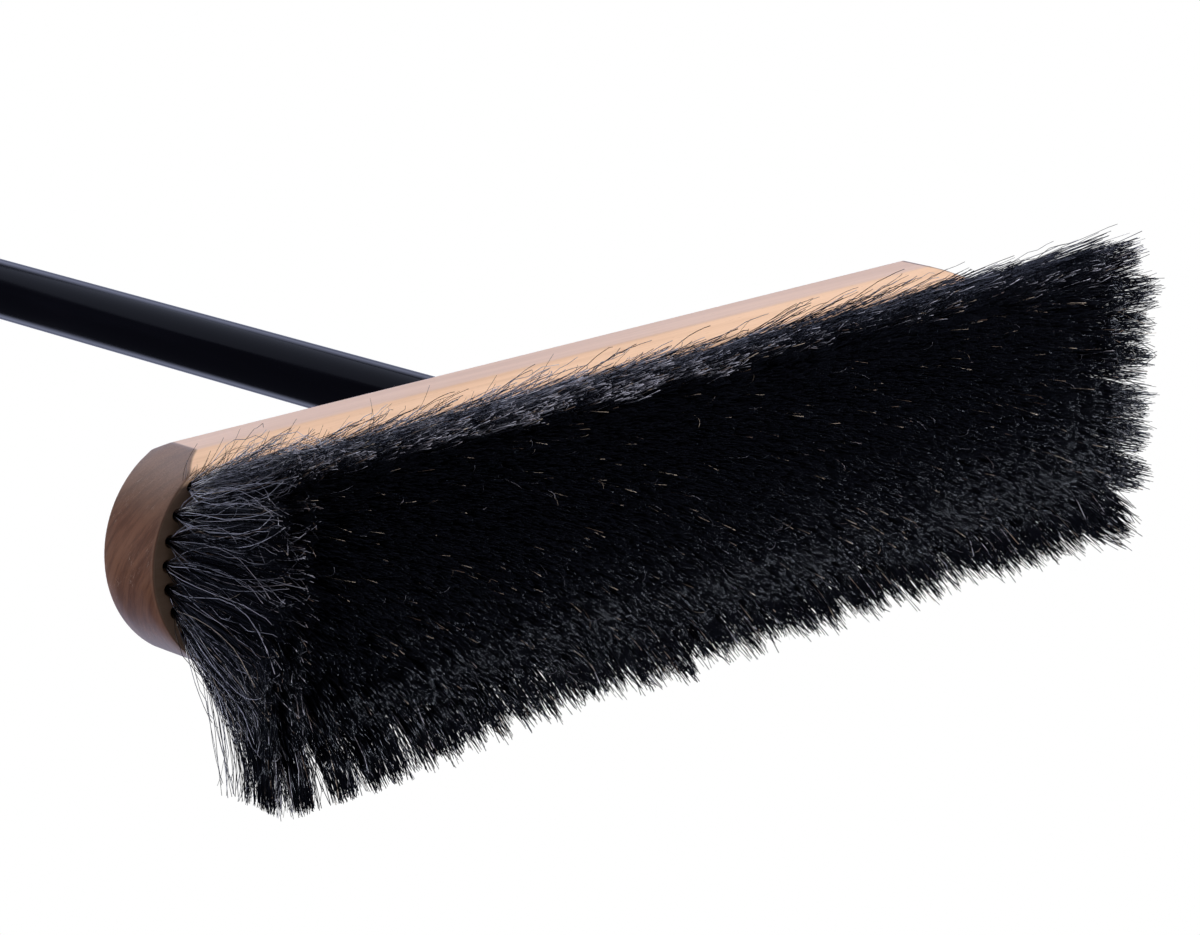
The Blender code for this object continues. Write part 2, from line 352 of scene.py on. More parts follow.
class BlockSettings(bpy.types.PropertyGroup):
    hole_diameter: length_property("Tuft hole", "Diameter of each drilled tuft hole", 0.0042)
    hole_depth: length_property("Hole depth", "Depth of each tuft hole", 0.012)
    edge_round: length_property("Edge round", "Width of the sanded edges", 0.0008)
    ring_width: length_property("Ring width", "Spacing of the growth rings", 0.0026)
    wood: colour_property("Beech", "Colour of the long grain", (0.84, 0.585, 0.43))
    fleck: colour_property("Flecks", "Colour of the small flecks", (0.50, 0.29, 0.17))
    end_light: colour_property("End grain, light", "Lighter rings at the ends", (0.165, 0.072, 0.038))
    end_dark: colour_property("End grain, dark", "Darker rings at the ends", (0.083, 0.031, 0.015))


def end_x(y):
    """Where the end arc lies at a distance from the middle line: centre + sqrt(radius^2 - y^2)."""
    return ARC_CENTRE + np.sqrt(np.maximum(ARC_RADIUS**2 - np.asarray(y) ** 2, 0.0))


def row_tufts(row):
    """(y, x of each tuft) of a row, evenly spread between the end margins."""
    y = LAST_ROW_Y * (2 * row / (ROWS - 1) - 1)
    last = float(end_x(y)) - END_MARGIN
    return y, np.linspace(-last, last, round(2 * last / TUFT_PITCH) + 1)


def section_heights(y):
    """Lower and upper surface of the moulding at y.

    Both are flat, and rise or fall in a straight line to the side: the facet and the bevel.
    """
    from_side = HALF_WIDTH - np.abs(y)
    low = FACE_Z + FRONT_FACET[1] * np.clip(1 - from_side / FRONT_FACET[0], 0, 1)
    high = BACK_Z - BACK_BEVEL[1] * np.clip(1 - from_side / BACK_BEVEL[0], 0, 1)
    return low, high


def block_shell():
    """Points and faces of the block: its section carried to the two end arcs, and the end surfaces.

    Every point is (x, y, z) with x a share of end_x(y). The outline goes round the section:
    lower surface, one side, upper surface, other side. An end surface is a grid of y by height.
    """
    inner = HALF_WIDTH - FRONT_FACET[0]
    bevel = HALF_WIDTH - BACK_BEVEL[0]
    edge = np.array([inner, bevel, HALF_WIDTH])
    middle = np.linspace(-inner, inner, 81)[1:-1]
    y = np.concatenate([-edge[::-1], middle, edge])
    low, high = section_heights(y)
    steps = np.linspace(0, 1, 5)
    sides = low[-1] + (high[-1] - low[-1]) * steps
    outline_y = np.concatenate([y, np.full(3, HALF_WIDTH), y[::-1], np.full(3, -HALF_WIDTH)])
    outline_z = np.concatenate([low, sides[1:-1], high[::-1], sides[::-1][1:-1]])
    shares = np.linspace(-1, 1, 41)
    x = shares[:, None] * end_x(outline_y)[None, :]
    shell = np.stack(np.broadcast_arrays(x, outline_y, outline_z), axis=-1)
    parts, faces = [shell.reshape(-1, 3)], [grid_faces(*x.shape, wrap=True)]
    for sign in (-1, 1):
        z = low[:, None] + (high - low)[:, None] * steps[None, :]
        wall_y = np.broadcast_to(y[:, None], z.shape)
        wall = np.stack([sign * end_x(wall_y), wall_y, z], axis=-1)
        faces.append(grid_faces(*z.shape, first=sum(len(part) for part in parts)))
        parts.append(wall.reshape(-1, 3))
    return np.concatenate(parts), np.concatenate(faces)


def drilled_holes(diameter, depth):
    """A closed cylinder for each tuft's hole, and one for the handle's bore.

    Each has two rings, centre + radius (cos, sin), at its low and its high end, and two hubs. It
    stands out of the block's surface a little.
    """
    sides, over = HOLE_SIDES, 0.001
    places = [np.stack([x, np.full_like(x, y)], axis=-1) for y, x in map(row_tufts, range(ROWS))]
    centres = np.concatenate([*places, [[0.0, 0.0]]])
    radius = np.full(len(centres), diameter / 2)
    radius[-1] = BORE_DIAMETER / 2
    heights = np.tile([FACE_Z - over, FACE_Z + depth], (len(centres), 1))
    heights[-1] = [BACK_Z - BORE_DEPTH, BACK_Z + over]
    loop = centres[:, None, :] + radius[:, None, None] * ring_points(sides)
    levels = [np.broadcast_to(heights[:, [k]], loop.shape[:2]) for k in (0, 1)]
    walls = np.stack([np.dstack([loop, level]) for level in levels], axis=1)
    hubs = np.stack([np.column_stack([centres, heights[:, k]]) for k in (0, 1)], axis=1)
    points = np.concatenate([walls.reshape(len(centres), -1, 3), hubs], axis=1)
    here = np.arange(sides)
    after = (here + 1) % sides
    low_hub = np.full(sides, 2 * sides)
    faces = np.concatenate(
        [
            np.stack([here, after, after + sides], axis=-1),
            np.stack([here, after + sides, here + sides], axis=-1),
            np.stack([after, here, low_hub], axis=-1),
            np.stack([here + sides, after + sides, low_hub + 1], axis=-1),
        ]
    )
    all_faces = faces[None] + (np.arange(len(centres)) * points.shape[1])[:, None, None]
    return points.reshape(-1, 3), all_faces.reshape(-1, 3)


# Where the tree's pith ran: y and z in mm
PITH = (38.5, 18.2)
# Which way the end's scratches lie, in y and z
SCRATCH_WAY = (0.84, 0.55)


def beech_finish(settings):
    """Satin lacquered beech: growth rings about a far pith, long fibres and small flecks.

    The end faces show dark, scratched end grain, paler towards both shoulders: painted light
    on the upper one and a painted reflection on the lower one. The drilled face is darker than
    the sides: painted shade under the hair. The rings are laid out in mm, and a noise's place is
    in cells a metre along X, Y and Z.
    """
    wood = Finish("lacquered_beech")
    x, y, z = wood.axes(wood.place((MM, MM, MM)))
    drift = wood.noise(wood.place((9, 45, 45)), detail=1)
    ring_place = ((y - PITH[0]) ** 2 + (z - PITH[1]) ** 2) ** 0.5 + drift * 6
    ring_scale = 1 / (MM * settings.ring_width)
    rings = wood.noise(wood.vector(ring_place * ring_scale, x * 0.004, 0.0), detail=2)
    fibre = wood.noise(wood.place((18, 1500, 1500)), detail=3, roughness=0.6)
    broad = wood.noise(wood.place((7, 90, 90)), detail=2)
    flecks = wood.between(wood.noise(wood.place((420, 3000, 3000)), detail=1), 0.66, 0.76)
    tone = wood.between(rings * 0.5 + fibre * 0.3 + broad * 0.2, 0.33, 0.67)
    long_light = [min(1.0, value * 1.06) for value in settings.wood]
    long_dark = [value * share for value, share in zip(settings.wood, (0.88, 0.84, 0.80))]
    long_grain = wood.blend(tone, long_dark, long_light)
    long_grain = wood.blend(flecks * 0.35, long_grain, tuple(settings.fleck))

    along = y * SCRATCH_WAY[0] + z * SCRATCH_WAY[1]
    across = z * SCRATCH_WAY[0] - y * SCRATCH_WAY[1]
    pores = wood.noise(wood.place((2600, 2600, 2600)), detail=2)
    cross = wood.noise(wood.vector(along * 0.12, across * 1.1, x * 0.3), detail=3, roughness=0.65)
    end_tone = wood.between(rings * 0.45 + cross * 0.4 + pores * 0.15, 0.36, 0.64)
    end_grain = wood.blend(end_tone, tuple(settings.end_dark), tuple(settings.end_light))
    patch = wood.between(wood.noise(wood.place((110, 110, 110)), detail=1), 0.45, 0.62)
    scratch = wood.noise(wood.vector(along * 0.35, across * 7.0, 0.0), detail=1)
    nick = wood.noise(wood.vector(along * 5.0, across * 0.5, 4.0), detail=1)
    nicks = wood.between(nick, 0.72, 0.76) * patch * 0.6
    scratches = (wood.between(scratch, 0.68, 0.73) * patch).most(nicks)
    end_grain = wood.blend(scratches * 0.55, end_grain, (0.62, 0.53, 0.46))
    # Painted light and painted reflection: the end grain turns paler towards both shoulders, |y| from 13
    # to 31 mm, broken up by the pores.
    painted_shoulder_light = wood.between(abs(y), 13.0, 31.0) * (0.10 + pores * 0.27)
    end_grain = wood.blend(painted_shoulder_light, end_grain, (0.60, 0.47, 0.37))

    from_centre = (((abs(x) - MM * ARC_CENTRE).most(0.0)) ** 2 + y**2) ** 0.5
    end_face = wood.between(from_centre, MM * ARC_RADIUS - 0.55, MM * ARC_RADIUS - 0.15)
    colour = wood.blend(end_face, long_grain, end_grain)
    # Painted shade: the drilled face is darkened towards dark brown where the hair over it shades it.
    painted_shade_under_hair = wood.between(z, MM * FACE_Z + 2.0, MM * FACE_Z + 0.3)
    colour = wood.blend(painted_shade_under_hair * 0.5, colour, (0.20, 0.11, 0.07))
    relief = wood.blend(end_face, wood.vector(fibre, fibre, fibre), wood.vector(cross, pores, cross))
    wood.surface(
        Base_Color=colour,
        Roughness=0.36 + fibre * 0.08 + end_face * (pores * 0.2 - 0.04),
        Normal=wood.bump(relief, 0.00006, 0.55),
        IOR=1.5,
    )
    return wood


class BROOM_OT_beech_block(bpy.types.Operator):
    """Make the drilled, lacquered beech block with its bowed ends"""

    bl_idname = "broom.beech_block"
    bl_label = "Beech block"

    def execute(self, context):
        settings = context.scene.broom_block
        block = mesh_object("beech_block", *block_shell(), weld=WELD)
        round_edges(block, settings.edge_round, segments=3, angle=14)
        cutter = mesh_object("holes", *drilled_holes(settings.hole_diameter, settings.hole_depth))
        cut(block, cutter)
        settle(block)
        block.data.shade_smooth()
        block.data.set_sharp_from_angle(angle=math.radians(32))
        dress(block, "head", "beech", beech_finish(settings), "head_block")
        return {"FINISHED"}


# Hair


class HairSettings(bpy.types.PropertyGroup):
    hairs: count_property("Hairs in a tuft", "Hairs that stand in each hole", 190, least=10)
    edge_share: FloatProperty(
        name="Share at the edges", description="Share of them in the tufts of the sides and ends",
        default=0.6, subtype="FACTOR", min=0, max=1,
    )
    outer_hairs: count_property("Outer hairs", "Free hairs added on each tuft of the sides and ends", 80)
    diameter: length_property("Hair", "Thickness of a hair", 0.00025)
    clumps: count_property("Clumps in a tuft", "Points that a tuft's hairs gather to", 7, least=1)
    black: colour_property("Black", "Colour of most hairs", (0.0018, 0.0018, 0.0034))
    # Grey hairs: a few real ones, and many more placed as painted highlights on the lit outer hair,
    # bluish like those highlights.
    grey: colour_property("Grey", "Colour of the greyer hairs", (0.49, 0.50, 0.63))
    brown: colour_property("Brown", "Colour of the odd brown hair", (0.10, 0.065, 0.05))
    pale: colour_property("Pale", "Colour of the few pale hairs", (0.50, 0.43, 0.37))
    seed: count_property("Seed", "Start of the random numbers", 11)


def unit(vectors):
    """Vectors divided by their own lengths."""
    return vectors / np.linalg.norm(vectors, axis=-1, keepdims=True)


def strands(path, radius, shade):
    """Three-sided tubes along many paths at once.

    path is (hairs, rings, 3), radius is (hairs, rings). Each ring's corners are the path's point
    plus radius times (cos, sin) of 0, 120 and 240 degrees in the plane square to the path. A face
    closes each end. shade is one number a hair, kept on its points. Gives the points, the faces,
    the shade of each point and the number of points of each hair.
    """
    hairs, rings, _ = path.shape
    along = np.gradient(path, axis=1)
    along /= np.linalg.norm(along, axis=-1, keepdims=True) + 1e-12
    chord = path[:, -1] - path[:, 0]
    bend = path[:, rings // 2] - (path[:, 0] + path[:, -1]) / 2 + np.array([1e-5, 2e-5, 0])
    side = np.cross(chord, bend)
    side /= np.linalg.norm(side, axis=-1, keepdims=True) + 1e-15
    first = side[:, None, :] - (side[:, None, :] * along).sum(-1, keepdims=True) * along
    first /= np.linalg.norm(first, axis=-1, keepdims=True) + 1e-12
    second = np.cross(along, first)
    angle = np.arange(3) * math.tau / 3
    corner = first[:, :, None] * np.cos(angle)[:, None]
    corner = corner + second[:, :, None] * np.sin(angle)[:, None]
    points = path[:, :, None] + radius[:, :, None, None] * corner
    here = np.arange(3)
    after = (here + 1) % 3
    rung = 3 * np.arange(rings - 1)[:, None]
    low = np.stack([here + rung, after + rung, after + rung + 3], axis=-1).reshape(-1, 3)
    high = np.stack([here + rung, after + rung + 3, here + rung + 3], axis=-1).reshape(-1, 3)
    last = 3 * (rings - 1)
    one = np.concatenate([low, high, [[2, 1, 0], [last, last + 1, last + 2]]])
    size = 3 * rings
    faces = one[None] + (size * np.arange(hairs))[:, None, None]
    return points.reshape(-1, 3), faces.reshape(-1, 3), np.repeat(shade, size), np.full(hairs, size)


def strand_object(name, groups):
    """Join groups of strands in one object, with the shade of each hair.

    Its UV map has a square cell for each hair: round the hair goes across the cell, and from root
    to tip goes up it, within a margin of 0.15 of the cell.
    """
    first = np.cumsum([0] + [len(group[0]) for group in groups])
    points = np.concatenate([group[0] for group in groups])
    faces = np.concatenate([group[1] + start for group, start in zip(groups, first)])
    shades = np.concatenate([group[2] for group in groups])
    sizes = np.concatenate([group[3] for group in groups])
    obj = mesh_object(name, points, faces)
    mesh = obj.data
    mesh.attributes.new("shade", "FLOAT", "POINT").data.foreach_set("value", shades.astype(np.float32))
    hair = np.repeat(np.arange(len(sizes)), sizes)
    within = np.arange(len(points)) - np.repeat(np.cumsum(sizes) - sizes, sizes)
    cells = math.ceil(math.sqrt(len(sizes)))
    rise = within // 3 / (sizes[hair] / 3 - 1)
    turn = within % 3 / 2
    across = (hair % cells + 0.15 + 0.7 * turn) / cells
    up = (hair // cells + 0.15 + 0.7 * rise) / cells
    place = np.stack([across, up], axis=-1)
    layer = mesh.uv_layers.new(name=MAP_NAME)
    layer.uv.foreach_set("vector", place[faces.ravel()].astype(np.float32).ravel())
    return obj


def curves(p0, p1, p2, p3, shares):
    """Points of cubic curves: (1-s)^3 p0 + 3 (1-s)^2 s p1 + 3 (1-s) s^2 p2 + s^3 p3."""
    s = np.asarray(shares)[None, :, None]
    p0, p1, p2, p3 = (point.reshape(-1, 1, 3) for point in (p0, p1, p2, p3))
    return (1 - s) ** 3 * p0 + 3 * (1 - s) ** 2 * s * p1 + 3 * (1 - s) * s**2 * p2 + s**3 * p3


def hair_finish(settings):
    """Black hair with a soft gloss. The shade of each hair picks black, grey, brown or pale."""
    hair = Finish("black_horsehair")
    shade = hair.node("ShaderNodeAttribute", {"attribute_name": "shade"}, output="Fac")
    black, grey, brown, pale = (
        tuple(colour) for colour in (settings.black, settings.grey, settings.brown, settings.pale)
    )
    soft = tuple((20 * low + high) / 21 for low, high in zip(black, grey))
    deep = tuple(value * 0.6 for value in black)
    tan = tuple((low + high) / 2 for low, high in zip(brown, pale))
    stops = [
        (0.0, deep), (0.5, black), (0.72, soft), (0.9, grey), (0.93, brown), (0.97, tan), (1.0, pale),
    ]
    colour = hair.node("ShaderNodeValToRGB", {"stops": stops}, {"Fac": shade})
    hair.surface(
        Base_Color=colour,
        Roughness=0.2,
        Specular_IOR_Level=0.4,
        Specular_Tint=(0.7, 0.8, 1.0, 1.0),
    )
    return hair


def smooth_rise(value, low, high):
    """0 below low, 1 above high, and 3 t^2 - 2 t^3 between."""
    t = np.clip((value - low) / (high - low), 0, 1)
    return t * t * (3 - 2 * t)


# How far the far end's tips reach past the rest at places across the head, from -1 to 1
FAR_REACH = (
    (-1.0, 0.0095), (-0.7, 0.0145), (-0.4, 0.0085), (0.0, 0.0065), (0.7, 0.0085), (1.0, 0.0028),
)
# How much further to -X the tips of the near end's +Y corner reach
CORNER_REACH = 0.0155
# How far tips are moved to +Y: on the +Y side, in the middle of the near end, and in its corner
SIDE_REACH = 0.0032
MIDDLE_LEAN = 0.008
CORNER_BULGE = 0.0130
# How far a tuft's tips stand round its tip place, along and across the head
TIP_REACH = (0.0052, 0.0070)
# Chance moves of a whole tuft's tips at the edges, and of each hair's tip
TUFT_CHANCE = 0.0013
HAIR_CHANCE = 0.0017
# How much further the outermost hairs of an edge tuft reach at most
OUTER_REACH = 0.004
# Radius of a tuft in the mouth of its hole
MOUTH_RADIUS = 0.0013
# How far up in its hole a hair starts, and how far back along its slope that is
ROOT_RISE = 0.0035
ROOT_RUN = 0.0032
# Height of the lowest tips over the floor, and how uneven the trim is
LOWEST_TIP = 0.0003
TRIM_CHANCE = 0.0012
# Where a curve's two middle points lie, as shares of its height from the root and from the tip
ROOT_PULL = 0.36
TIP_PULL = 0.30
GOLDEN_ANGLE = 2.399963
# Past these places the +Y corner of the near end is cut back
WIDEST_TIP_Y = 0.0598
CORNER_X = -0.180


class Growth(NamedTuple):
    """How one kind of hair grows. A slope is a sideways step for a step of one towards the tip."""

    fan: float  # slope at the hole of a hair at the rim of its tuft
    fan_chance: float  # spread of that slope by chance
    tip_chance: float  # spread by chance of the slope at the tip
    short_share: float  # share of hairs that end above the trimmed face
    short_share_near: float  # more of them at the near end
    short_by: float  # how far above it they end at most
    shade_top: float  # palest shade of the black hairs
    odd_share: float  # share of brown and pale hairs


STANDING = Growth(
    fan=0.30, fan_chance=0.05, tip_chance=0.10, short_share=0.15, short_share_near=0.0,
    short_by=0.010, shade_top=0.5, odd_share=0.005,
)
FREE = Growth(
    fan=0.46, fan_chance=0.12, tip_chance=0.30, short_share=0.34, short_share_near=0.3,
    short_by=0.026, shade_top=0.7, odd_share=0.015,
)


def bump_at(value, place, width):
    """1 at a place, falling off on both sides: e to the minus ((value - place) / width)^2."""
    return np.exp(-(((value - place) / width) ** 2))


def tuft_lean(x, y, last):
    """Tip place of each tuft, and its outward direction, which is long only at the sides and ends.

    The tips spread in proportion to the holes. The far end reaches further, most near the -Y side.
    The near end reaches further towards its +Y corner, which bulges to +Y, and its middle tips
    lean to +Y. Each fades in as a power of the place along or across the head, as a smooth rise
    or as a bell curve.
    """
    u, v = x / last, y / LAST_ROW_Y
    near = np.clip(-u, 0, 1)
    far = np.clip(u, 0, 1)
    tip_x = u * (TIP_LAST_X - TIP_BOW * v**2)
    tip_x = tip_x + np.interp(v, *zip(*FAR_REACH)) * far**8
    tip_x = tip_x - CORNER_REACH * near**5 * smooth_rise(v, -0.3, 1.1)
    tip_y = v * (LAST_ROW_Y + TIP_SPREAD) + SIDE_REACH * max(v, 0) ** 6
    tip_y = tip_y + MIDDLE_LEAN * near**9 * bump_at(v, 0.1, 0.45)
    tip_y = tip_y + CORNER_BULGE * bump_at(tip_x, -0.160, 0.050) * max(v, 0) ** 3
    out_y = v * abs(v) ** 4
    out = np.stack([np.sign(u) * np.abs(u) ** 12, np.full_like(x, out_y)], axis=-1)
    return np.stack([tip_x, tip_y], axis=-1), out


def row_side(y):
    """-1 or 1 for the outer rows of the -Y and the +Y side, 0 for the rows between."""
    return int(np.sign(y)) if abs(y) > 0.95 * LAST_ROW_Y else 0


def gathered(rng, disc, clumps, edge, pull):
    """Places of the unit disc, each drawn part of the way to the nearest of its tuft's clumps.

    Clump n lies at n golden angles from a random start and at a radius of the square root of
    n / clumps, a little less at the edges, and is moved by a small random step.
    """
    tufts, hairs = disc.shape[:2]
    turns = np.arange(clumps) + 0.5
    angle = turns * GOLDEN_ANGLE + rng.random((tufts, 1)) * math.tau
    radius = np.sqrt(turns / clumps) * (0.95 - 0.25 * edge[:, 0])
    clump = np.stack([radius * np.cos(angle), radius * np.sin(angle)], axis=-1)
    clump += rng.normal(0, 0.12, clump.shape)
    blurred = disc[:, :, None] + rng.normal(0, 0.08, (tufts, hairs, 1, 2))
    apart = np.linalg.norm(blurred - clump[:, None], axis=-1)
    own = np.take_along_axis(clump, apart.argmin(-1)[:, :, None], axis=1)
    gather = (0.1 + pull * edge) * rng.uniform(0.3, 1.2, (tufts, hairs, 1))
    return disc + (own - disc) * gather


def grey_shares_as_highlights(x, y, near):
    """Share of grey hairs in each free tuft: a small one everywhere, more towards the near end
    but less so at its +Y corner, and most about one place on the -Y side. Past the small even
    share, these grey hairs are painted highlights, put where light falls on the hair.
    """
    plus = max(y / LAST_ROW_Y, 0)
    side = 1.0 if row_side(y) < 0 else 0.0
    return 0.04 + 0.40 * near * (1 - 0.7 * plus) + side * (0.85 * bump_at(x, -0.06, 0.06) + 0.07)


def grow_tufts(rng, settings, x, y, last, hairs, shares, free=False):
    """Paths of the hairs of some tufts of a row, each a cubic curve from its root to its tip.

    A hair passes the hole's mouth at (a, b) of the unit disc times a small radius. It leaves at
    1.1 times the tuft's own slope plus the fan times (a, b), and its tip is the tuft's tip place
    plus (a, b), drawn to its clump, times the reach. No tip passes the widest Y, which comes in by
    0.75 of the way that a tip stands past the near corner. Free hairs bend more, and crinkle as a
    sine wave. A free tuft's places on its inner side are pushed out along its outward direction.
    """
    growth = FREE if free else STANDING
    tufts, count = len(x), len(x) * hairs
    plus = max(y / LAST_ROW_Y, 0)
    near = (np.clip(-x / last, 0, 1) ** 6)[:, None, None]
    radius = np.sqrt(rng.random((tufts, hairs)))
    angle = rng.random((tufts, hairs)) * math.tau
    disc = np.stack([radius * np.cos(angle), radius * np.sin(angle)], axis=-1)
    tip_middle, out = tuft_lean(x, y, last)
    edge = np.minimum(np.linalg.norm(out, axis=-1)[:, None, None], 1)
    out = out[:, None]
    if free:
        outward = out / (np.linalg.norm(out, axis=-1, keepdims=True) + 1e-6)
        inwards = np.minimum((disc * outward).sum(-1, keepdims=True) + 0.1, 0)
        disc = disc - 1.6 * inwards * outward

    reach = TIP_REACH * (1 + near**4 * np.array([-0.4, 0.25 * plus]))
    hole = np.stack([x, np.full_like(x, y)], axis=-1)[:, None]
    mouth = hole + disc * MOUTH_RADIUS
    pull = 0.4 if y > 0 else 0.5
    tip = tip_middle[:, None] + gathered(rng, disc, settings.clumps, edge, pull) * reach
    tip += rng.normal(0, TUFT_CHANCE, (tufts, 1, 2)) * edge
    outer_share = np.maximum((disc * out).sum(-1, keepdims=True), 0)
    tip = tip + out * outer_share * rng.random((tufts, hairs, 1)) ** 2 * OUTER_REACH
    tip += rng.normal(0, HAIR_CHANCE, tip.shape) * (1 - 0.5 * edge)
    widest = WIDEST_TIP_Y - 0.75 * np.maximum(CORNER_X - tip[..., 0], 0)
    tip[..., 1] = np.minimum(tip[..., 1], widest - 0.006 * rng.random((tufts, hairs)) ** 1.5)

    wild = np.ones((tufts, 1, 2))
    wild[..., 1:] += 0.3 * near
    if row_side(y) < 0:
        wild[..., :1] = (1.6 - 0.7 * smooth_rise(x, -0.02, 0.08))[:, None, None]
        wild[..., 1:] = 0.28 + 0.62 * near
    slope = (tip_middle[:, None] - hole) / FACE_Z
    spread = disc * growth.fan + rng.normal(0, growth.fan_chance, tip.shape)
    leave = slope * 1.1 + spread * wild
    arrive = slope + out * (0.55 if y > 0 else 0.20)
    arrive = arrive + rng.normal(0, growth.tip_chance, tip.shape) * wild
    tip_z = LOWEST_TIP + np.abs(rng.normal(0, TRIM_CHANCE, (tufts, hairs, 1)))
    short = rng.random((tufts, hairs, 1)) < growth.short_share + growth.short_share_near * near
    tip_z += short * rng.random((tufts, hairs, 1)) ** 1.5 * growth.short_by
    start = FACE_Z + ROOT_RISE
    root = mouth - leave * ROOT_RUN
    run = start - tip_z
    p0 = np.concatenate([root, np.full_like(tip_z, start)], axis=-1)
    p1 = np.concatenate([root + leave * ROOT_PULL * run, start - ROOT_PULL * run], axis=-1)
    p2 = np.concatenate([tip - arrive * TIP_PULL * run, tip_z + TIP_PULL * run], axis=-1)
    p3 = np.concatenate([tip, tip_z], axis=-1)
    path = curves(p0, p1, p2, p3, shares)
    if free:
        path += crinkle(rng, count, np.asarray(shares), FACE_Z)

    taper = np.linspace(1, 0.75, len(shares))[None]
    thick = settings.diameter / 2 * rng.uniform(0.7, 1.15, (count, 1)) * taper
    if free:
        thick *= np.repeat((1.45 if y > 0 else 1.25) - 0.35 * near[:, 0, 0], hairs)[:, None]
    else:
        thick *= 1 + 0.35 * plus**2
    shade = rng.random(count) ** 2 * growth.shade_top
    if free:
        # Painted highlights: grey hairs stand in for the shine on the lit outer hair, over a small even
        # share of real grey ones.
        highlight_grey_share = grey_shares_as_highlights(x, y, near[:, 0, 0]) * rng.uniform(0.5, 1.4, tufts)
        highlight_grey_share = np.repeat(highlight_grey_share, hairs)
        shade = np.where(rng.random(count) < highlight_grey_share, rng.uniform(0.74, 0.94, count), shade)
    odd = rng.random(count) < growth.odd_share
    shade = np.where(odd, rng.uniform(0.92, 1.0, count), shade)
    return strands(path, thick, shade)


def crinkle(rng, count, shares, length):
    """Small sideways waves: a random direction and size, times sin(2 pi s length / wave + phase)."""
    wave = rng.uniform(0.010, 0.018, (count, 1))
    phase = rng.random((count, 1)) * math.tau
    size = rng.gamma(3.0, 0.00012, (count, 1)) * np.minimum(shares * 4, 1)[None]
    swing = size * np.sin(math.tau * shares[None] * length / wave + phase)
    way = rng.random((count, 1)) * math.tau
    return np.stack([swing * np.cos(way), swing * np.sin(way), np.zeros_like(swing)], axis=-1)


class BROOM_OT_hair_rows(bpy.types.Operator):
    """Grow the hair of the eight rows of tufts, one piece for each row"""

    bl_idname = "broom.hair_rows"
    bl_label = "Hair rows"

    def execute(self, context):
        settings = context.scene.broom_hair
        finish = hair_finish(settings)
        for row in range(ROWS):
            rng = np.random.default_rng(settings.seed + row)
            y, x = row_tufts(row)
            at_edge = (np.abs(x) > x[-1] - 2.5 * TUFT_PITCH) | (row in (0, ROWS - 1))
            groups = []
            for some, hairs, shares in (
                (at_edge, round(settings.hairs * settings.edge_share), (0.0, 0.3, 0.6, 0.85, 1.0)),
                (~at_edge, settings.hairs, (0.0, 0.6, 0.87, 1.0)),
            ):
                if some.any():
                    groups.append(grow_tufts(rng, settings, x[some], y, x[-1], hairs, shares))
            piece = strand_object(f"hair_row_{row + 1}", groups)
            dress(piece, "head", "horsehair", finish, f"tuft_row_{row + 1}")
        return {"FINISHED"}


class BROOM_OT_outer_hair(bpy.types.Operator):
    """Grow the freely bent hair on the tufts of the two sides and the two ends"""

    bl_idname = "broom.outer_hair"
    bl_label = "Outer hair"

    def execute(self, context):
        settings = context.scene.broom_hair
        shares = np.array([0, 0.13, 0.26, 0.39, 0.52, 0.64, 0.75, 0.85, 0.93, 1])
        rng = np.random.default_rng(settings.seed + ROWS)
        hairs = settings.outer_hairs
        ends = []
        for row in range(ROWS):
            y, x = row_tufts(row)
            if row in (0, ROWS - 1):
                side = grow_tufts(rng, settings, x, y, x[-1], hairs, shares, free=True)
                add_hair_piece(f"outer_hair_{row + 1}", [side])
            last_two = np.concatenate([x[:2], x[-2:]])
            ends.append(grow_tufts(rng, settings, last_two, y, x[-1], hairs, shares, free=True))
        add_hair_piece("outer_hair_ends", ends)
        return {"FINISHED"}


def add_hair_piece(name, groups):
    """A piece of hair beside the rows, with their finish."""
    piece = strand_object(name, groups)
    piece.data.materials.append(bpy.data.materials["black_horsehair"])
    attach(piece, "head")


class StraySettings(bpy.types.PropertyGroup):
    side_strays: count_property("Side strays", "Hairs that stand out past the long sides", 330)
    corner_strays: count_property("Corner strays", "Long fine hairs at the near end's corner", 9)
    bent_tips: count_property("Bent tips", "Longer hairs whose tips lie over the trimmed face", 130)
    seed: count_property("Seed", "Start of the random numbers", 5)


# How far above the block's face a stray hair starts in its hole
STRAY_RISE = 0.003
# The last places along the head where strays of the sides start
STRAY_LAST_X = 0.163


def side_strays(rng, count):
    """Hairs of the two outer rows that stand out sideways, bend and end in the air.

    Most are near the near end and on the -Y side. They leave their row at 22 to 56 degrees and
    end at 11 to 62, and get shorter towards the far end, as a smooth rise.
    """
    side = np.where(rng.random(count) < 0.75, -1.0, 1.0)
    x = STRAY_LAST_X * (2 * rng.beta(0.8, 3.0, count) - 1)
    length = np.minimum(0.005 + rng.gamma(2.0, 0.0030, count), 0.022)
    length = (length * (1 - 0.5 * smooth_rise(x, -0.02, 0.15)))[:, None]
    root = np.stack([x, side * LAST_ROW_Y, np.full(count, FACE_Z + STRAY_RISE)], axis=-1)
    down = -np.ones(count)
    first = [rng.normal(0, 0.35, count), side * rng.uniform(0.4, 1.5, count), down]
    last = [rng.normal(0.4, 0.7, count), side * rng.uniform(0.2, 1.9, count), down]
    first, last = unit(np.stack(first, axis=-1)), unit(np.stack(last, axis=-1))
    tip = root + (first * 0.5 + last * 0.5) * length
    p1, p2 = root + first * length * 0.4, tip - last * length * 0.35
    return curves(root, p1, p2, tip, np.linspace(0, 1, 8))


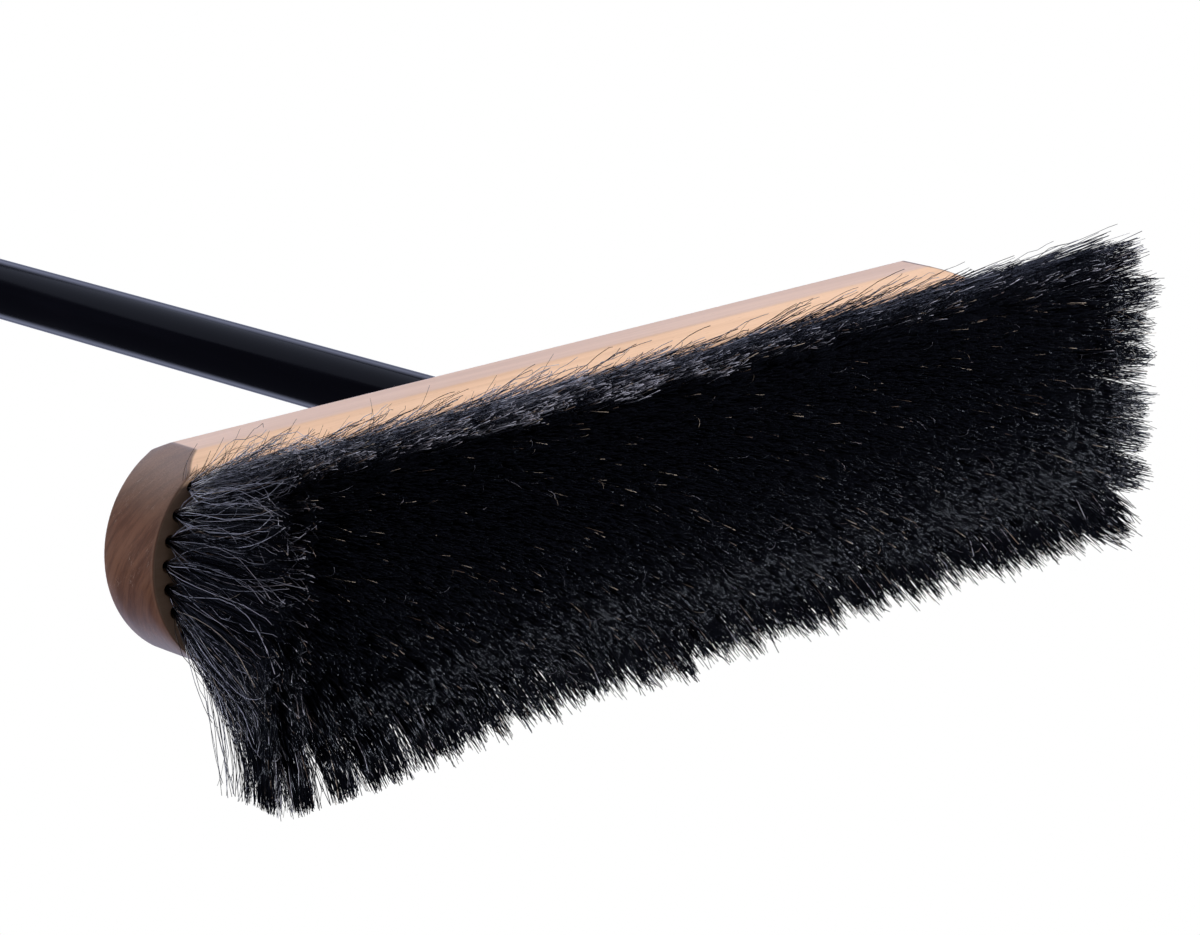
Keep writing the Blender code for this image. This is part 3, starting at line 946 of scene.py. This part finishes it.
def corner_strays(rng, count):
    """Long fine hairs that hang out past the near end's +Y corner, more so the nearer to it."""
    near_x, far_x = -STRAY_LAST_X, -0.10
    x = rng.uniform(near_x, far_x, count)
    root = np.stack([x, np.full(count, LAST_ROW_Y), np.full(count, FACE_Z + STRAY_RISE)], axis=-1)
    fade = (far_x - x) / (far_x - near_x)
    along = -0.45 * fade + rng.normal(0, 0.10, count)
    way = unit(np.stack([along, rng.uniform(0.35, 0.60, count), -np.ones(count)], axis=-1))
    length = rng.uniform(0.040, 0.066, count)[:, None]
    tip = root + way * length
    tip[:, 2] = np.maximum(tip[:, 2], 0.0005)
    third = way * length / 3
    curl = rng.normal(0, 0.003, (count, 3))
    return curves(root, root + third + curl, tip - third - curl, tip, np.linspace(0, 1, 10))


def bent_tips(rng, count):
    """Hairs that reach the trimmed face and lie over along it for a few millimetres."""
    row = rng.integers(1, ROWS, count)
    y = LAST_ROW_Y * (2 * row / (ROWS - 1) - 1)
    last = end_x(y) - END_MARGIN
    x = last * rng.uniform(-1, 1, count)
    root = np.stack([x, y, np.full(count, FACE_Z + STRAY_RISE)], axis=-1)
    tip_x = x * TIP_LAST_X / last + rng.normal(0, 0.003, count)
    tip_y = y * (LAST_ROW_Y + TIP_SPREAD) / LAST_ROW_Y + rng.normal(0, 0.003, count)
    reach = rng.uniform(0.002, 0.006, count)
    way = rng.random(count) * math.tau
    bend = np.stack([tip_x, tip_y, rng.uniform(0.0004, 0.0022, count)], axis=-1)
    tip = bend + np.stack([reach * np.cos(way), reach * np.sin(way), np.zeros(count)], axis=-1)
    tip[:, 2] = rng.uniform(0.0002, 0.0018, count)
    path = curves(root, root + (bend - root) * 0.9, bend, tip, np.linspace(0, 1, 10))
    path[:, :, 2] = np.maximum(path[:, :, 2], 0.0002)
    return path


class BROOM_OT_stray_hairs(bpy.types.Operator):
    """Add the hairs that stand out of the rows or lie over the trimmed tips"""

    bl_idname = "broom.stray_hairs"
    bl_label = "Stray hairs"

    def execute(self, context):
        settings = context.scene.broom_strays
        diameter = context.scene.broom_hair.diameter
        rng = np.random.default_rng(settings.seed)
        groups = []
        for make, count, thickness, low, high in (
            (side_strays, settings.side_strays, 0.85, 0.0, 0.8),
            (corner_strays, settings.corner_strays, 0.6, 0.3, 0.9),
            (bent_tips, settings.bent_tips, 0.6, 0.7, 1.0),
        ):
            path = make(rng, count)
            taper = np.linspace(1, 0.5, path.shape[1])[None]
            thick = diameter / 2 * thickness * rng.uniform(0.75, 1.2, (count, 1)) * taper
            groups.append(strands(path, thick, rng.uniform(low, high, count)))
        add_hair_piece("stray_hairs", groups)
        return {"FINISHED"}


# Handle


class HandleSettings(bpy.types.PropertyGroup):
    sides: count_property("Sides", "Facets round the tube", 128, least=12)
    wall: length_property("Wall", "Wall of the tube", 0.0005)
    coat: colour_property("Coating", "Colour of the gloss coating", (0.002, 0.002, 0.0035))
    plastic: colour_property("Plastic", "Colour of the moulded plastic", (0.014, 0.014, 0.016))


def coating_finish(settings):
    """Gloss black coating with a faint orange peel and a few rubbed places."""
    coat = Finish("gloss_black_coating")
    peel = coat.noise(coat.place((420, 420, 260)), detail=1)
    rub = coat.between(coat.noise(coat.place((90, 90, 9)), detail=3), 0.45, 0.75)
    coat.surface(
        Base_Color=coat.blend(rub * 0.4, tuple(settings.coat), [value * 1.9 for value in settings.coat]),
        Roughness=0.10 + rub * 0.08,
        Normal=coat.bump(peel, 0.00004, 0.25),
        IOR=1.11,
    )
    return coat


def plastic_finish(settings):
    """Moulded black plastic with a fine grain."""
    plastic = Finish("moulded_black_plastic")
    grain = plastic.noise(plastic.place((2400, 2400, 2400)), detail=2)
    cloud = plastic.noise(plastic.place((120, 120, 120)), detail=2)
    paler = [value * 1.5 for value in settings.plastic]
    plastic.surface(
        Base_Color=plastic.blend(cloud, tuple(settings.plastic), paler),
        Roughness=0.34 + cloud * 0.12,
        Normal=plastic.bump(grain, 0.00003, 0.35),
        IOR=1.5,
    )
    return plastic


class BROOM_OT_handle_tube(bpy.types.Operator):
    """Make the coated steel tube of the handle"""

    bl_idname = "broom.handle_tube"
    bl_label = "Handle tube"

    def execute(self, context):
        settings = context.scene.broom_handle
        outer = TUBE_HIGH[0]
        inner = outer - settings.wall
        height = np.linspace(TUBE_LOW[2], TUBE_HIGH[2], 25)
        profile = [(outer, z) for z in height] + [(inner, z) for z in height[::-1]] + [(outer, height[0])]
        tube = turned("coated_tube", profile, settings.sides)
        tube.data.set_sharp_from_angle(angle=math.radians(30))
        dress(tube, "handle", "coated_steel", coating_finish(settings), "handle_tube")
        return {"FINISHED"}


def thread_radius(turn, height):
    """Radius of the thread at a share of a turn and a height above its foot.

    The tooth is a trapezoid over one pitch, its crest 0.3 and each flank 0.22 of it wide, and
    fades out over the lead-in at both ends. The radius is the outer one less what it leaves out.
    """
    off_crest = np.abs((height / THREAD_PITCH - turn) % 1 - 0.5)
    tooth = np.clip((0.15 + 0.22 - off_crest) / 0.22, 0, 1)
    fade = np.clip(np.minimum(height, THREAD_LENGTH - height) / THREAD_LEAD_IN, 0, 1)
    return THREAD_RADIUS - THREAD_DEPTH * (1 - tooth * fade)


def threaded_plug(wall):
    """Points and faces of the threaded tip: the thread, the collar and the plug in the tube.

    Rings of points (radius cos, radius sin, height) go up from the middle of the thread's foot to
    the middle of the plug's top. The thread's rings change their radius round the turn.
    """
    sides = 72
    turn = np.arange(sides) / sides
    heights = np.linspace(0, THREAD_LENGTH, 96)
    screw_r = thread_radius(turn[None], heights[:, None])
    screw_z = np.broadcast_to((TIP_LOW[2] + heights)[:, None], screw_r.shape)
    low = BACK_Z + FIT_GAP
    high = low + COLLAR_HEIGHT
    collar, plug = TUBE_HIGH[0], TUBE_HIGH[0] - wall - FIT_GAP
    groove = np.array(PLUG_GROOVE) + high
    chamfer, end = COLLAR_CHAMFER, TIP_HIGH[2]
    plain = np.array(
        [
            (0.0, TIP_LOW[2]), (THREAD_RADIUS - THREAD_DEPTH, low), (collar - chamfer, low),
            (collar, low + chamfer), (collar, high - chamfer), (collar - chamfer, high), (plug, high),
            (plug, groove[0]), (plug - PLUG_CHAMFER, groove[0]), (plug - PLUG_CHAMFER, groove[1]),
            (plug, groove[1]), (plug, end - PLUG_CHAMFER), (plug - PLUG_CHAMFER, end), (0.0, end),
        ]
    )
    rest_r, rest_z = (np.broadcast_to(column[:, None], (len(plain), sides)) for column in plain.T)
    ring_r = np.concatenate([rest_r[:1], screw_r, rest_r[1:]])
    ring_z = np.concatenate([rest_z[:1], screw_z, rest_z[1:]])
    angle = turn * math.tau
    points = np.stack([ring_r * np.cos(angle), ring_r * np.sin(angle), ring_z], axis=-1)
    return points.reshape(-1, 3), grid_faces(*ring_r.shape, wrap=True)


class BROOM_OT_threaded_tip(bpy.types.Operator):
    """Make the moulded threaded tip: thread, collar and the plug in the tube"""

    bl_idname = "broom.threaded_tip"
    bl_label = "Threaded tip"

    def execute(self, context):
        settings = context.scene.broom_handle
        tip = mesh_object("threaded_plug", *threaded_plug(settings.wall), weld=WELD)
        tip.data.set_sharp_from_angle(angle=math.radians(38))
        dress(tip, "handle", "black_plastic", plastic_finish(settings), "threaded_tip")
        return {"FINISHED"}


def soft_clip(value, limit, softness):
    """Value kept within plus and minus limit by a smooth least value, rounded over softness."""
    size = np.abs(value)
    room = np.clip(0.5 + 0.5 * (size - limit) / softness, 0, 1)
    least = size * (1 - room) + limit * room - softness * room * (1 - room)
    return np.sign(value) * least


def domed_cap(wall):
    """Points and faces of the cap: a dome on a rim and a spigot, flattened to a tab.

    Its profile is carried round Z: the rim, then an elliptic dome (outer cos, dome sin) with more
    rows where the tab starts. Above that, y is kept within a limit that falls from a little past
    the rim's radius to half the tab's thickness by a smooth rise.
    """
    outer, foot = CAP_HIGH[0], TUBE_HIGH[2] + FIT_GAP
    spigot, chamfer, corner = TUBE_HIGH[0] - wall - FIT_GAP, CAP_SPIGOT_CHAMFER, 0.0004
    deep = CAP_LOW[2] - foot
    dome = CAP_HIGH[2] - foot - CAP_RIM_HEIGHT
    tab = CAP_TAB_START - CAP_RIM_HEIGHT
    more_rows = np.arcsin(np.linspace(tab - 0.0001, tab + CAP_SHOULDER + 0.0001, 16) / dome)
    rise = np.sort(np.append(np.linspace(0, math.pi / 2, 60), more_rows))[1:-1]
    low_r = [0, spigot - chamfer, spigot, spigot, outer - corner, outer, outer]
    low_z = [deep, deep, deep + chamfer, 0, 0, corner, CAP_RIM_HEIGHT - 0.0005]
    radius = np.concatenate([low_r, outer * np.cos(rise), [0]])
    height = foot + np.concatenate([low_z, CAP_RIM_HEIGHT + dome * np.sin(rise), [CAP_HIGH[2] - foot]])
    ring = ring_points(96)
    x, y = radius[:, None] * ring[:, 0], radius[:, None] * ring[:, 1]
    above = height[:, None] - foot - CAP_TAB_START
    wide = outer + 0.001
    limit = wide + (CAP_HALF_TAB - wide) * smooth_rise(above, 0, CAP_SHOULDER)
    y = np.where(above > 0, soft_clip(y, limit, 0.0007), y)
    points = np.stack([x, y, np.broadcast_to(height[:, None], x.shape)], axis=-1)
    return points.reshape(-1, 3), grid_faces(*x.shape, wrap=True)


def hanging_hole():
    """The shape that cuts the hanging hole: a cylinder that flares by a quarter circle at each side."""
    bore, half, rim, over = CAP_HOLE_RADIUS, CAP_HALF_TAB, 0.0008, 0.003
    flare = np.linspace(0, math.pi / 2, 7)
    near = np.stack([bore + rim - rim * np.sin(flare), half - rim + rim * np.cos(flare)], axis=-1)
    far = near[::-1] * [1, -1]
    end = half + over
    profile = [(0, end), (bore + rim, end), *near, *far, (bore + rim, -end), (0, -end)]
    cutter = turned("hanging_hole", profile, 48)
    place = Matrix.Translation((0, 0, TUBE_HIGH[2] + FIT_GAP + CAP_HOLE_RISE))
    cutter.data.transform(place @ Matrix.Rotation(math.pi / 2, 4, "X"))
    return cutter


class BROOM_OT_end_cap(bpy.types.Operator):
    """Make the domed end cap, flattened to a drilled tab"""

    bl_idname = "broom.end_cap"
    bl_label = "End cap"

    def execute(self, context):
        settings = context.scene.broom_handle
        cap = mesh_object("hanging_cap", *domed_cap(settings.wall), weld=WELD)
        cut(cap, hanging_hole())
        settle(cap)
        cap.data.shade_smooth()
        cap.data.set_sharp_from_angle(angle=math.radians(35))
        dress(cap, "handle", "black_plastic", plastic_finish(settings), "end_cap")
        return {"FINISHED"}


# Stage


class StageSettings(bpy.types.PropertyGroup):
    lens: FloatProperty(name="Lens", description="Focal length on a 36 mm sensor, in mm", default=138.276)
    floor_radius: length_property("Floor radius", "Radius of the floor", 6.0, precision=2)
    floor_colour: colour_property("Floor", "Colour of the floor", (0.42, 0.42, 0.43))
    floor_glow: level_property("Floor glow", "Paleness of the floor without lamps", 0.58)
    ambient: level_property("Ambient", "Light from all sides", 0.12)
    shine_tint: FloatVectorProperty(
        name="Tint in gloss", description="Colour of the backdrop in gloss", size=3,
        default=(0.90, 0.98, 1.4),
    )
    shine: level_property("Backdrop in gloss", "Brightness of the backdrop in gloss", 1.4)
    far_shine: level_property("Straight behind", "Brightness in gloss of what lies straight behind", 0.45)
    ceiling: level_property("Ceiling in gloss", "Brightness of the -Y side of the room in gloss", 0.2)
    room: level_property("Room in gloss", "Brightness of the rest of the room in gloss", 0.08)
    key: level_property("Key lamp", "Power of the lamp that faces the tips", 29.0)
    window: level_property("Window", "Power of the matt lamp beside the near end", 7.5)
    side: level_property("Side lamp", "Power of the lamp above the -Y side", 1.6)
    top: level_property("Top lamp", "Power of the lamp above the back", 22.0)


# The floor lies just under the tips, clear of them
FLOOR_Z = -0.0005

# Axes of the photograph's camera: right, up and back, and where it stands
CAMERA_RIGHT = (0.7681, 0.04619, -0.63866)
CAMERA_UP = (0.20805, -0.96128, 0.18069)
CAMERA_BACK = (-0.60559, -0.27166, -0.74797)
CAMERA_PLACE = (-0.9032, -0.40153, -1.04671)


def add_lamp(name, way, distance, size, power, aim, colour=(1.0, 1.0, 1.0), mirrored=True):
    """A square soft lamp at a distance along a direction from its aim, and turned to it.

    One that isn't mirrored lights matt surfaces only and doesn't show in gloss.
    """
    way = unit(np.array(way))
    light = bpy.data.lights.new(name, "AREA")
    light.size = size
    light.energy = power
    light.color = colour
    lamp = bpy.data.objects.new(name, light)
    turn = Vector(way).to_track_quat("Z", "Y")
    lamp.visible_camera = False
    lamp.visible_glossy = mirrored
    lamp.matrix_world = Matrix.Translation(np.array(aim) + way * distance) @ turn.to_matrix().to_4x4()
    bpy.context.scene.collection.objects.link(lamp)


def floor_finish(colour, glow):
    """A pale floor with a glow of its own, so that it stays pale far from the lamps.

    It shows from above only. From below, and to light and reflections, it is clear.
    """
    floor = Finish("pale_floor")
    path = floor.node("ShaderNodeLightPath", output="Is Camera Ray")
    below = floor.node("ShaderNodeNewGeometry", output="Backfacing")
    clear = floor.node("ShaderNodeBsdfTransparent")
    pale = floor.node("ShaderNodeBsdfDiffuse", inputs={"Color": (*colour, 1.0)})
    even = floor.node("ShaderNodeEmission", inputs={"Strength": glow})
    both = floor.node("ShaderNodeAddShader", inputs={0: pale, 1: even})
    shown = path * (1 - below)
    mixed = floor.node("ShaderNodeMixShader", inputs={0: shown, 1: clear, 2: both})
    floor.tree.links.new(mixed.output, floor.tree.nodes["Material Output"].inputs["Surface"])
    return floor


class BROOM_OT_studio(bpy.types.Operator):
    """Set up the pale floor, the white backdrop, soft lamps and the photograph's camera"""

    bl_idname = "broom.studio"
    bl_label = "Studio"

    def execute(self, context):
        settings = context.scene.broom_stage
        scene = context.scene
        scene.view_settings.view_transform = "Standard"
        camera_data = bpy.data.cameras.new("photo_camera")
        camera_data.lens = settings.lens
        camera_data.sensor_width = 36
        camera_data.clip_start, camera_data.clip_end = 0.01, 50
        camera = bpy.data.objects.new("photo_camera", camera_data)
        columns = np.eye(4)
        columns[:3] = np.column_stack([CAMERA_RIGHT, CAMERA_UP, CAMERA_BACK, CAMERA_PLACE])
        camera.matrix_world = Matrix(columns.tolist())
        scene.collection.objects.link(camera)
        scene.camera = camera

        corners = 96
        rim = np.full((corners, 3), FLOOR_Z)
        rim[:, :2] = settings.floor_radius * ring_points(corners)
        floor = mesh_object("floor", rim, np.arange(corners)[None], smooth=False)
        floor.data.materials.append(floor_finish(settings.floor_colour, settings.floor_glow).material)

        world = bpy.data.worlds.new("white_backdrop")
        scene.world = world
        world.use_nodes = True
        sky = Finish(world=world)
        way = sky.node("ShaderNodeTexCoord", output="Generated")
        behind = sky.node(
            "ShaderNodeVectorMath", {"operation": "DOT_PRODUCT"},
            {0: way, 1: tuple(-value for value in CAMERA_BACK)}, output="Value",
        )
        # Gloss mirrors a bright backdrop round what lies behind, a dimmer one straight behind, and
        # a dark room elsewhere. The numbers are cosines from the camera's fixed line of sight.
        overhead = sky.between(sky.axes(way)[1], -0.36, -0.48, settings.room, settings.ceiling)
        sheen = overhead + sky.between(behind, 0.70, 0.82) * (settings.shine - overhead)
        sheen = sheen + sky.between(behind, 0.87, 0.93) * (settings.far_shine - settings.shine)
        seen = sky.node("ShaderNodeLightPath", output="Is Camera Ray")
        gloss = sky.node("ShaderNodeLightPath", output="Is Glossy Ray")
        glass = sky.node("ShaderNodeLightPath", output="Is Transmission Ray")
        mirrored = gloss.most(glass)
        strength = seen + (1 - seen) * (mirrored * sheen + (1 - mirrored) * settings.ambient)
        backdrop = world.node_tree.nodes["Background"]
        sky.feed(backdrop.inputs["Color"], sky.blend(mirrored, (1, 1, 1), tuple(settings.shine_tint)))
        sky.feed(backdrop.inputs["Strength"], strength)

        add_lamp(
            "key_lamp", (0.22, -0.48, -0.85), 1.6, 0.4, settings.key, aim=(0, 0, 0.06),
            colour=(1.04, 1.0, 0.95),
        )
        add_lamp(
            "window_lamp", (-0.80, -0.08, 0.58), 1.0, 0.6, settings.window, aim=(-0.1, 0, 0.04),
            colour=(0.96, 0.98, 1.06), mirrored=False,
        )
        add_lamp(
            "side_lamp", (0.0, -0.66, 0.75), 1.0, 0.8, settings.side, aim=(0, -0.02, 0.04),
            colour=(0.9, 1.0, 1.3),
        )
        add_lamp("top_lamp", (0.1, 0.15, 1.0), 2.6, 1.4, settings.top, aim=(0, 0, 0.4))
        return {"FINISHED"}


class BROOM_PT_panel(bpy.types.Panel):
    """Lists the broom's pieces in the sidebar"""

    bl_label = "Horsehair Broom"
    bl_space_type = "VIEW_3D"
    bl_region_type = "UI"
    bl_category = "Broom"

    def draw(self, context):
        for maker in MAKERS:
            self.layout.operator(maker.bl_idname)
        for group in SETTINGS:
            box = self.layout.box()
            settings = getattr(context.scene, group)
            for name in settings.bl_rna.properties.keys():
                if name not in ("name", "rna_type"):
                    box.prop(settings, name)


SETTINGS = {
    "broom_block": BlockSettings,
    "broom_hair": HairSettings,
    "broom_strays": StraySettings,
    "broom_handle": HandleSettings,
    "broom_stage": StageSettings,
}
MAKERS = (
    BROOM_OT_studio,
    BROOM_OT_beech_block,
    BROOM_OT_hair_rows,
    BROOM_OT_outer_hair,
    BROOM_OT_stray_hairs,
    BROOM_OT_handle_tube,
    BROOM_OT_threaded_tip,
    BROOM_OT_end_cap,
)


def register():
    for cls in (*SETTINGS.values(), *MAKERS, BROOM_PT_panel):
        bpy.utils.register_class(cls)
    for group, cls in SETTINGS.items():
        setattr(bpy.types.Scene, group, PointerProperty(type=cls))


def unregister():
    for group in SETTINGS:
        delattr(bpy.types.Scene, group)
    for cls in (BROOM_PT_panel, *reversed(MAKERS), *SETTINGS.values()):
        bpy.utils.unregister_class(cls)


def main():
    """Builds every piece in turn."""
    register()
    bpy.ops.broom.studio()
    bpy.ops.broom.beech_block()
    bpy.ops.broom.hair_rows()
    bpy.ops.broom.outer_hair()
    bpy.ops.broom.stray_hairs()
    bpy.ops.broom.handle_tube()
    bpy.ops.broom.threaded_tip()
    bpy.ops.broom.end_cap()


if __name__ == "__main__":
    main()
